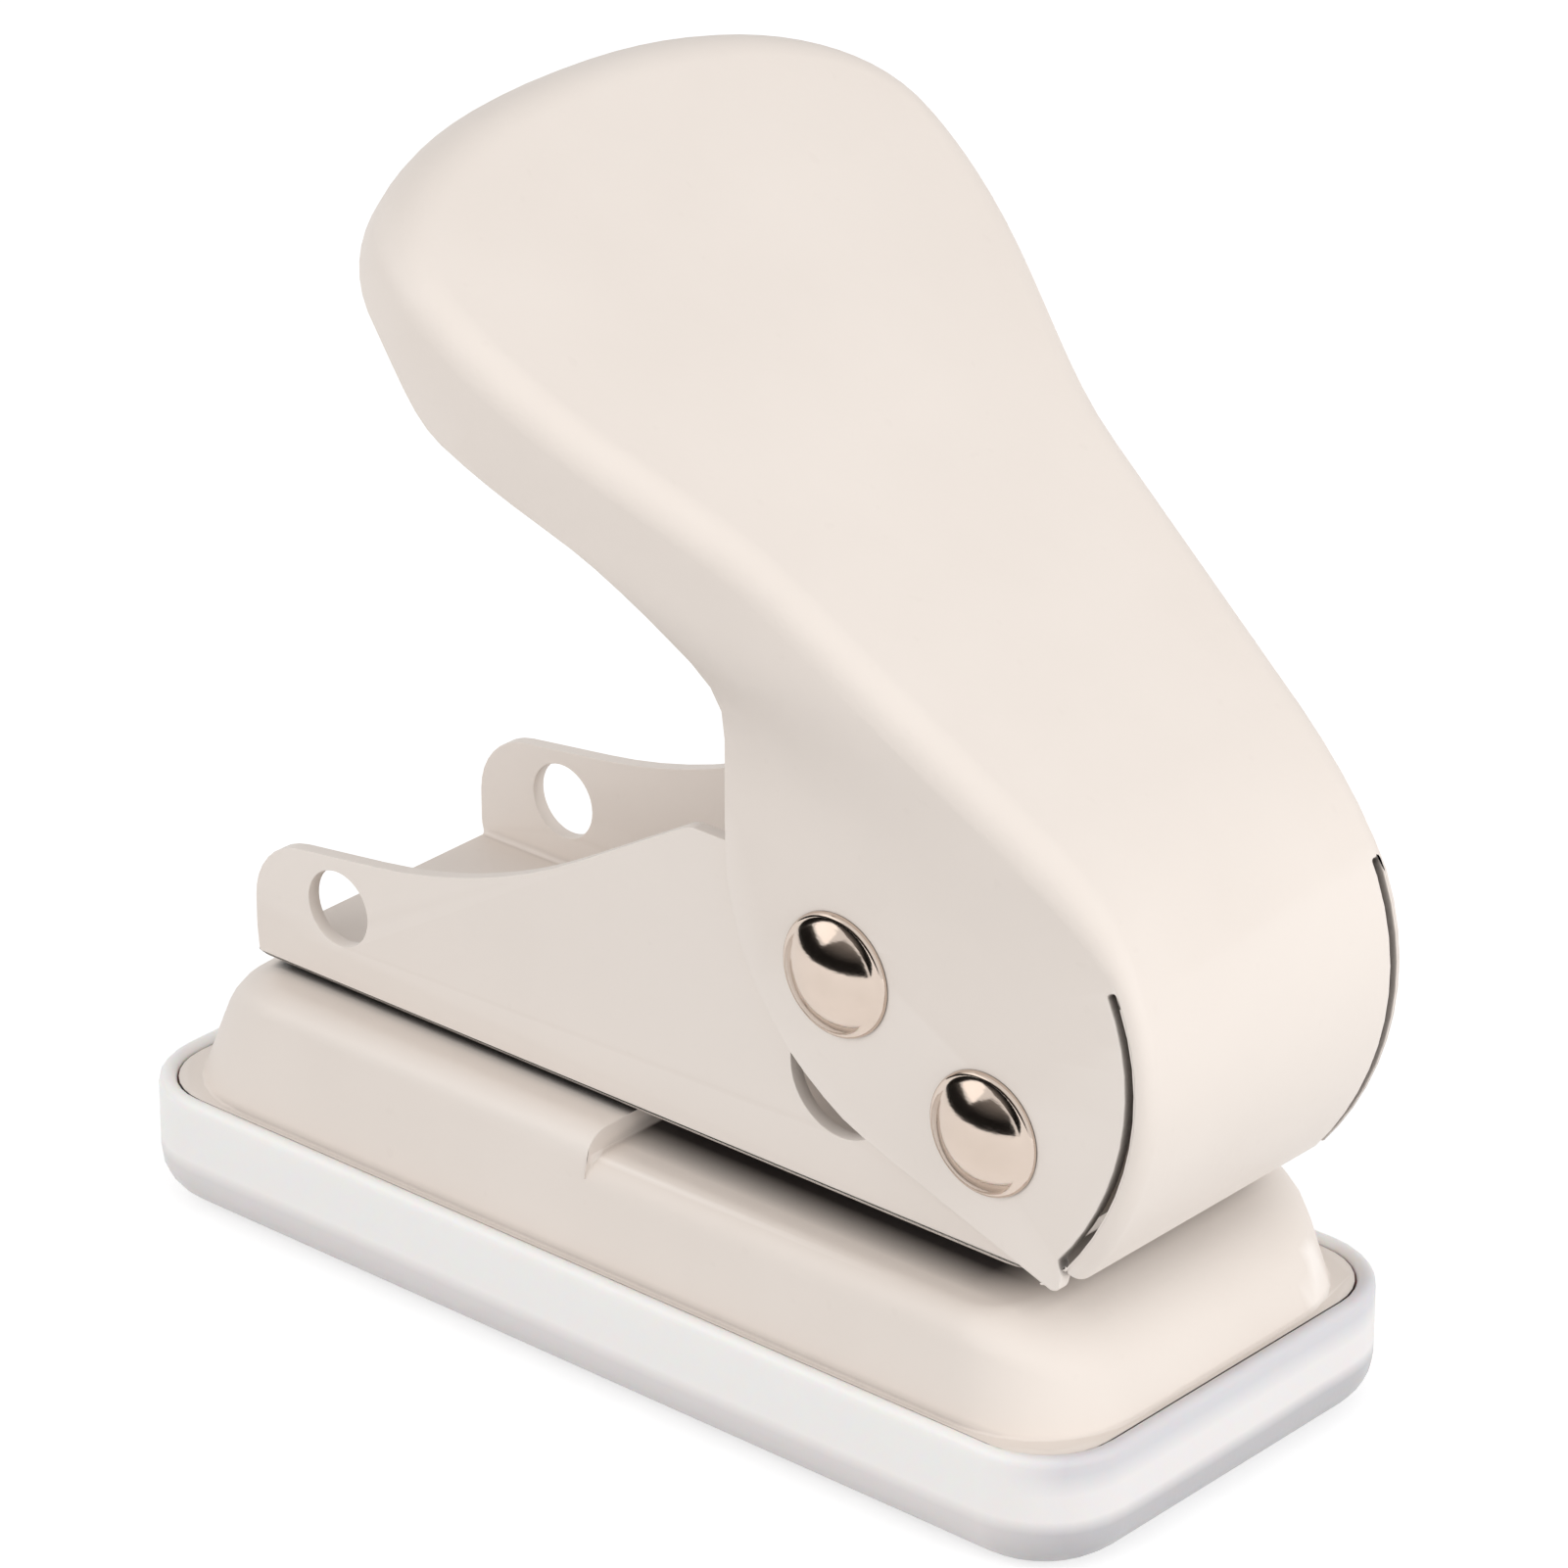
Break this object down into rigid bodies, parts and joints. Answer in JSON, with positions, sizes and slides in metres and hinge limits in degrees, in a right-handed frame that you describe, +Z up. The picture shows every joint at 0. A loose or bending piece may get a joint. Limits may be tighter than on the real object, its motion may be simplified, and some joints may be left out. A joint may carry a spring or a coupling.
{
  "type": "single hole punch",
  "caption": "Desk hole punch: a flared thumb lever on a cross pin drives a sprung punch through the paper mouth of a pressed base that sits in a clear chip tray.",
  "frame": {"origin": "middle of the chip tray's underside", "axes": "+X towards the paper mouth and the lever's rolled back, +Y across the punch along its pins, +Z up"},
  "size_m": [0.08, 0.0454, 0.0776],
  "materials": {
    "cream_paint": "satin",
    "clear_plastic": "frosted",
    "bright_rivet": "polished",
    "inner_steel": "turned"
  },
  "bodies": {
    "tray": {"chip_tray": "clear_plastic"},
    "base": {"base_shell": "cream_paint", "die_bush": "inner_steel", "frame": "cream_paint", "front_base_rivet": "bright_rivet", "rear_base_rivet": "bright_rivet", "guide_bush": "inner_steel", "pivot_spacer": "inner_steel", "return_spring": "inner_steel"},
    "lever": {"lever": "cream_paint", "pivot_pin": "bright_rivet", "drive_pin": "bright_rivet", "drive_spacer": "inner_steel"},
    "punch": {"punch": "inner_steel"}
  },
  "joints": [
    {"name": "base_lift", "type": "slide", "parent": "tray", "child": "base", "axis": [0, 0, 1], "range_m": [0, 0.02]},
    {"name": "lever_press", "type": "hinge", "parent": "base", "child": "lever", "pos_m": [0.0289, 0, 0.0256], "axis": [0, -1, 0], "range_deg": [0, 22], "stiffness_Nm_per_rad": 0.6, "springref_deg": -28.65},
    {"name": "punch_stroke", "type": "slide", "parent": "base", "child": "punch", "axis": [0, 0, -1], "range_m": [0, 0.0048], "deforming": ["return_spring"]}
  ],
  "couplings": [
    {"joint": "punch_stroke", "follows": "lever_press", "m_per_rad": 0.012419}
  ]
}
